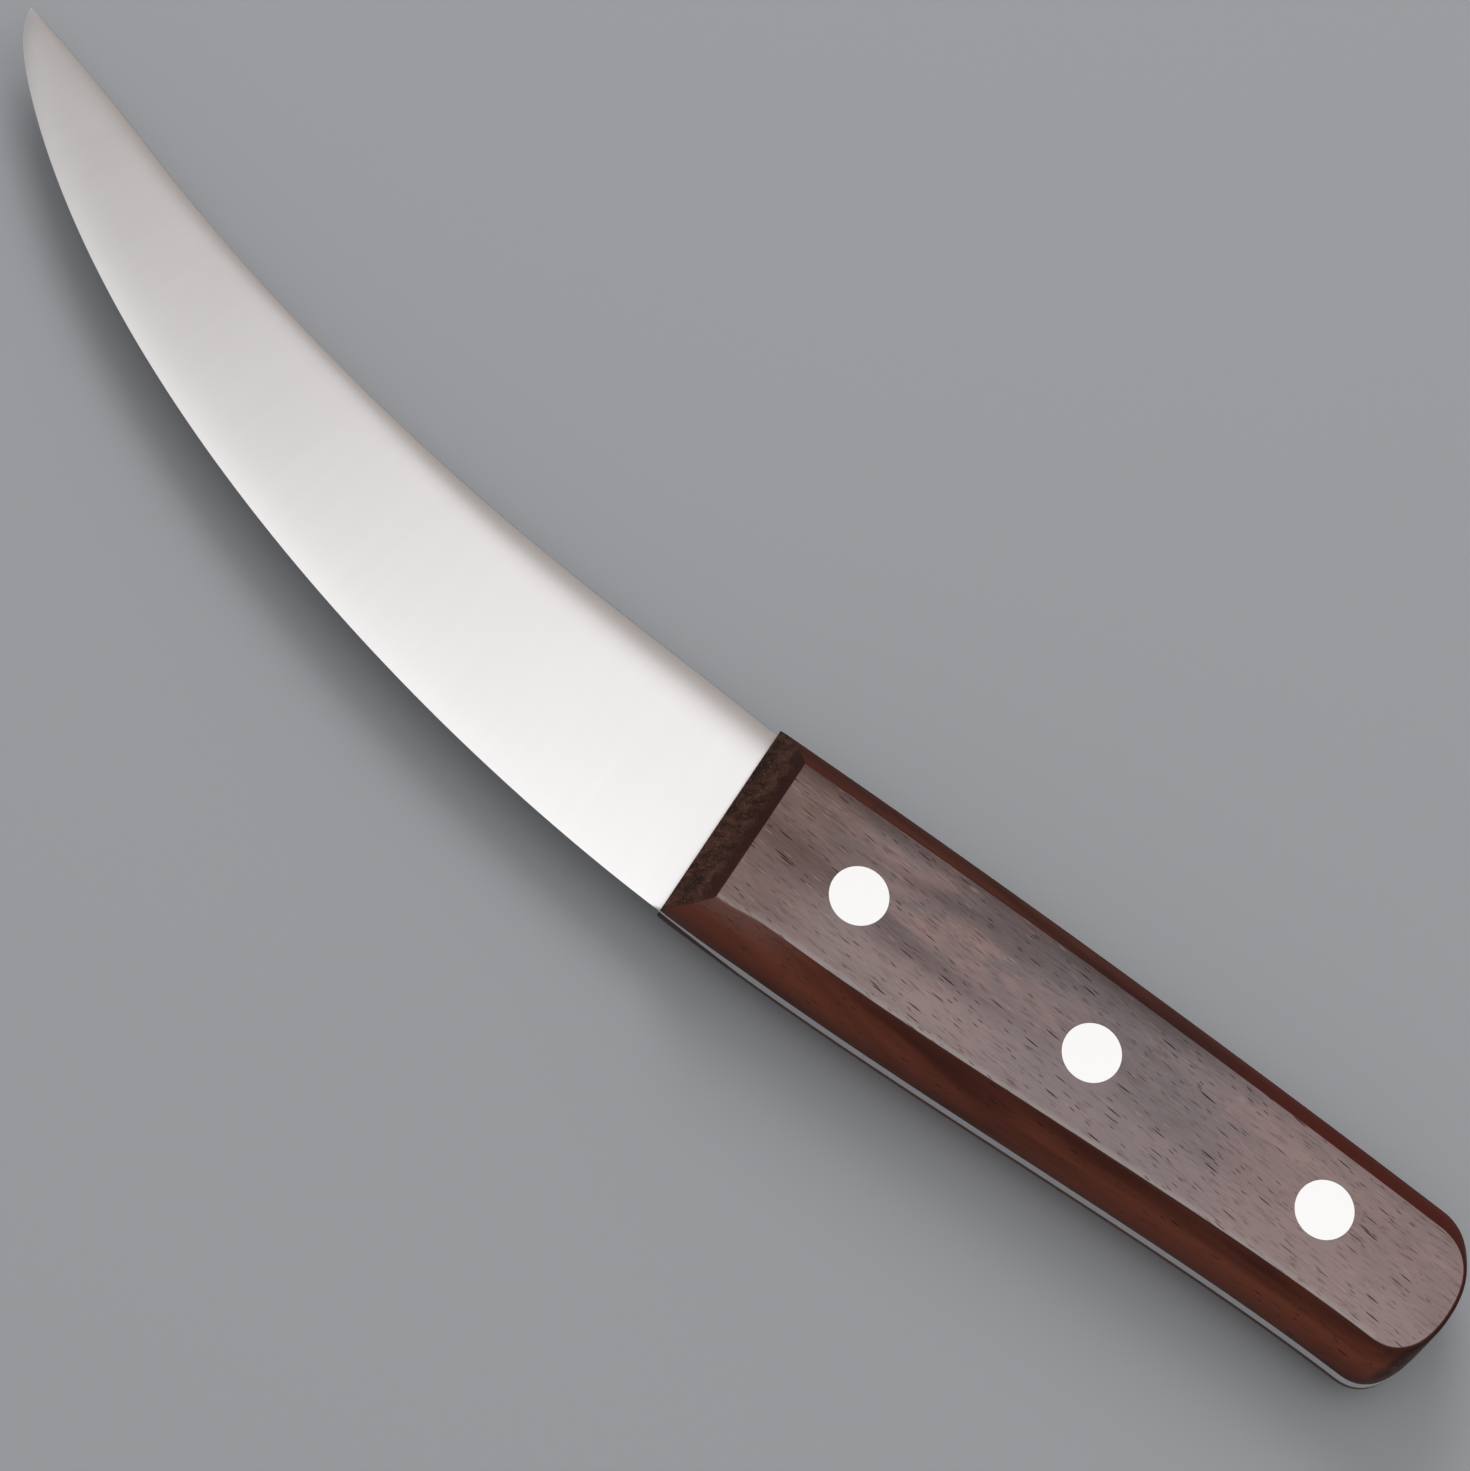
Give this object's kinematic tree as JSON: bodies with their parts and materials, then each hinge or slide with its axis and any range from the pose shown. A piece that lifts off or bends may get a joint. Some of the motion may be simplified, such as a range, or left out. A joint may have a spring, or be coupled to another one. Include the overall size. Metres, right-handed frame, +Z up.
{
  "type": "skinning knife",
  "caption": "Butcher's knife with a broad swept-up blade, a full tang and bevelled hardwood scales held by flush rivets, for skinning and trimming.",
  "frame": {"origin": "middle of the underside of the bounding box, with the knife lying on its right scale", "axes": "+X along the handle from the tip to the butt, +Y from the cutting edge to the back, +Z up through the thickness towards the left scale"},
  "size_m": [0.262, 0.0596, 0.018],
  "materials": {
    "blade_steel": "satin stainless steel, finely ground across the blade, with a smoother rounded back",
    "handle_wood": "rosewood with dark pores, oiled and satin, paler where the flats were sanded and deeper in colour on the chamfers",
    "rivet_metal": "ground flush with the wood and polished"
  },
  "bodies": {
    "root": {"blade": "blade_steel", "left_scale": "handle_wood", "right_scale": "handle_wood", "front_rivet_female": "rivet_metal", "front_rivet_male": "rivet_metal", "middle_rivet_female": "rivet_metal", "middle_rivet_male": "rivet_metal", "rear_rivet_female": "rivet_metal", "rear_rivet_male": "rivet_metal"}
  },
  "joints": []
}
